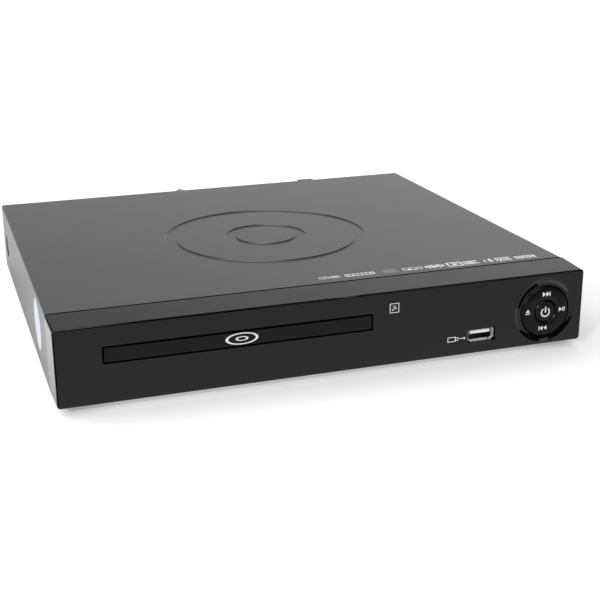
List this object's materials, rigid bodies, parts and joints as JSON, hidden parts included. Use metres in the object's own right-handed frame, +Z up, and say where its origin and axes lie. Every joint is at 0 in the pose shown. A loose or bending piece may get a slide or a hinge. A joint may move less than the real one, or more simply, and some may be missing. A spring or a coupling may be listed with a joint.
{
  "type": "disc player",
  "caption": "Compact disc player: low steel case with a glossy front, a motor-driven disc tray, a round rocking key ring, a front plug socket and rear jacks.",
  "frame": {"origin": "centre of the footprint's box, on the surface under the feet", "axes": "+Z up, +X to the right seen from the front, the front faces -Y"},
  "size_m": [0.27, 0.251, 0.0424],
  "materials": {
    "cover_paint": "satin dark grey paint on folded sheet",
    "panel_paint": "fine black paint",
    "zinc_steel": "zinc plated sheet",
    "gloss_black": "high gloss black moulding",
    "key_black": "satin black moulding",
    "window_black": "dark clear moulding",
    "black_plastic": "fine textured black moulding",
    "foot_rubber": "matte black rubber",
    "grommet_rubber": "soft damping rubber",
    "belt_rubber": "smooth drive belt",
    "board_green": "solder mask over glass fibre board",
    "board_tan": "paper board",
    "chip_black": "moulded chip package",
    "natural_plastic": "natural acetal",
    "white_plastic": "white moulding",
    "plated_steel": "bright nickel plate",
    "gold_contacts": "gold flash",
    "jack_colours": "coloured insulators",
    "motor_steel": "drawn steel can",
    "rod_steel": "ground steel rod",
    "pickup_alloy": "die cast body",
    "lens_glass": "coated lens",
    "magnet_steel": "plated magnet and yoke",
    "winding_yellow": "taped core and winding",
    "capacitor_sleeve": "dark sleeve",
    "sink_aluminium": "extruded aluminium",
    "cable_white": "flat cable",
    "screw_black": "black zinc screws",
    "screw_zinc": "zinc screws",
    "fuse_glass": "glass fuse in clips"
  },
  "bodies": {
    "case": {"top_cover": "cover_paint", "base_pan": "zinc_steel", "rear_panel": "panel_paint", "front_bezel": "gloss_black", "feet": "foot_rubber", "sensor_window": "window_black", "light_window": "window_black", "front_board": "board_green", "tact_switches": "chip_black", "remote_sensor": "chip_black", "usb_shell": "plated_steel", "usb_tongue": "white_plastic", "usb_contacts": "gold_contacts", "loader_frame": "black_plastic", "drive_belt": "belt_rubber", "loading_motor": "motor_steel", "clamper_bridge": "black_plastic", "main_board": "board_green", "board_chips": "chip_black", "jack_housing": "black_plastic", "jack_barrels": "plated_steel", "jack_inserts": "jack_colours", "video_socket": "plated_steel", "mains_gland": "black_plastic", "power_board": "board_tan", "transformer": "winding_yellow", "bulk_capacitor": "capacitor_sleeve", "output_capacitors": "capacitor_sleeve", "heat_sink": "sink_aluminium", "line_filter": "winding_yellow", "mains_fuse": "fuse_glass", "front_cable": "cable_white", "board_connectors": "white_plastic", "case_screws": "screw_black", "board_screws": "screw_zinc", "loader_screws": "screw_zinc"},
    "tray": {"disc_tray": "black_plastic", "tray_door": "gloss_black"},
    "rack_gear": {"rack_gear": "natural_plastic"},
    "pulley_gear": {"pulley_gear": "natural_plastic"},
    "motor_pulley": {"motor_pulley": "natural_plastic"},
    "cam_slider": {"cam_slider": "natural_plastic"},
    "traverse": {"lift_frame": "black_plastic", "grommets": "grommet_rubber", "traverse_plate": "zinc_steel", "guide_rods": "rod_steel", "spindle_base": "board_green", "sled_motor": "motor_steel"},
    "turntable": {"spindle_rotor": "motor_steel", "turntable": "black_plastic"},
    "pickup": {"pickup_body": "pickup_alloy", "sled_rack": "natural_plastic", "objective_lens": "lens_glass"},
    "sled_gear": {"sled_gear": "natural_plastic"},
    "sled_pinion": {"sled_pinion": "natural_plastic"},
    "clamper": {"clamper": "white_plastic", "clamper_magnet": "magnet_steel"},
    "power_button": {"power_button": "key_black"},
    "rocker_frame": {"rocker_frame": "black_plastic"},
    "control_ring": {"control_ring": "key_black"}
  },
  "joints": [
    {"name": "tray_slide", "type": "slide", "parent": "case", "child": "tray", "axis": [0, -1, 0], "range_m": [0, 0.132]},
    {"name": "rack_gear_spin", "type": "hinge", "parent": "case", "child": "rack_gear", "pos_m": [-0.0973, -0.0975, 0.014], "axis": [0, 0, 1], "range_deg": [0, 945.43]},
    {"name": "pulley_gear_spin", "type": "hinge", "parent": "case", "child": "pulley_gear", "pos_m": [-0.0783, -0.0975, 0.014], "axis": [0, 0, 1], "range_deg": [-2048.37, 0]},
    {"name": "motor_pulley_spin", "type": "hinge", "parent": "case", "child": "motor_pulley", "pos_m": [-0.0273, -0.0995, 0.021], "axis": [0, 0, 1], "range_deg": [-7022.88, 0]},
    {"name": "traverse_drop", "type": "hinge", "parent": "case", "child": "traverse", "pos_m": [-0.0403, 0.0545, 0.01525], "axis": [1, 0, 0], "range_deg": [0, 3.07]},
    {"name": "cam_slide", "type": "slide", "parent": "case", "child": "cam_slider", "axis": [1, 0, 0], "range_m": [0, 0.0141]},
    {"name": "turntable_spin", "type": "hinge", "parent": "traverse", "child": "turntable", "pos_m": [-0.0473, -0.0555, 0.0294], "axis": [0, 0, 1], "continuous": true},
    {"name": "pickup_slide", "type": "slide", "parent": "traverse", "child": "pickup", "axis": [0, 1, 0], "range_m": [0, 0.0335]},
    {"name": "sled_gear_spin", "type": "hinge", "parent": "traverse", "child": "sled_gear", "pos_m": [-0.0122, -0.0025, 0.021], "axis": [0, 0, 1], "range_deg": [-342.8, 0]},
    {"name": "sled_pinion_spin", "type": "hinge", "parent": "traverse", "child": "sled_pinion", "pos_m": [-0.0122, -0.0145, 0.021], "axis": [0, 0, 1], "range_deg": [0, 685.55]},
    {"name": "clamper_spin", "type": "hinge", "parent": "case", "child": "clamper", "pos_m": [-0.0473, -0.0555, 0.0326], "axis": [0, 0, 1], "continuous": true},
    {"name": "power_press", "type": "slide", "parent": "case", "child": "power_button", "axis": [0, 1, 0], "range_m": [0, 0.0004], "stiffness_N_per_m": 900},
    {"name": "ring_rock_vertical", "type": "hinge", "parent": "case", "child": "rocker_frame", "pos_m": [0.1136, -0.1181, 0.02155], "axis": [1, 0, 0], "range_deg": [-1.2, 1.2], "stiffness_Nm_per_rad": 1},
    {"name": "ring_rock_sideways", "type": "hinge", "parent": "rocker_frame", "child": "control_ring", "pos_m": [0.1136, -0.1181, 0.02155], "axis": [0, 0, 1], "range_deg": [-1.2, 1.2], "stiffness_Nm_per_rad": 1}
  ],
  "couplings": [
    {"joint": "rack_gear_spin", "follows": "tray_slide", "rad_per_m": 125},
    {"joint": "pulley_gear_spin", "follows": "tray_slide", "rad_per_m": -270.83},
    {"joint": "motor_pulley_spin", "follows": "tray_slide", "rad_per_m": -928.57},
    {"joint": "cam_slide", "follows": "traverse_drop", "m_per_rad": 0.26128},
    {"joint": "sled_gear_spin", "follows": "pickup_slide", "rad_per_m": -178.57},
    {"joint": "sled_pinion_spin", "follows": "pickup_slide", "rad_per_m": 357.14}
  ]
}
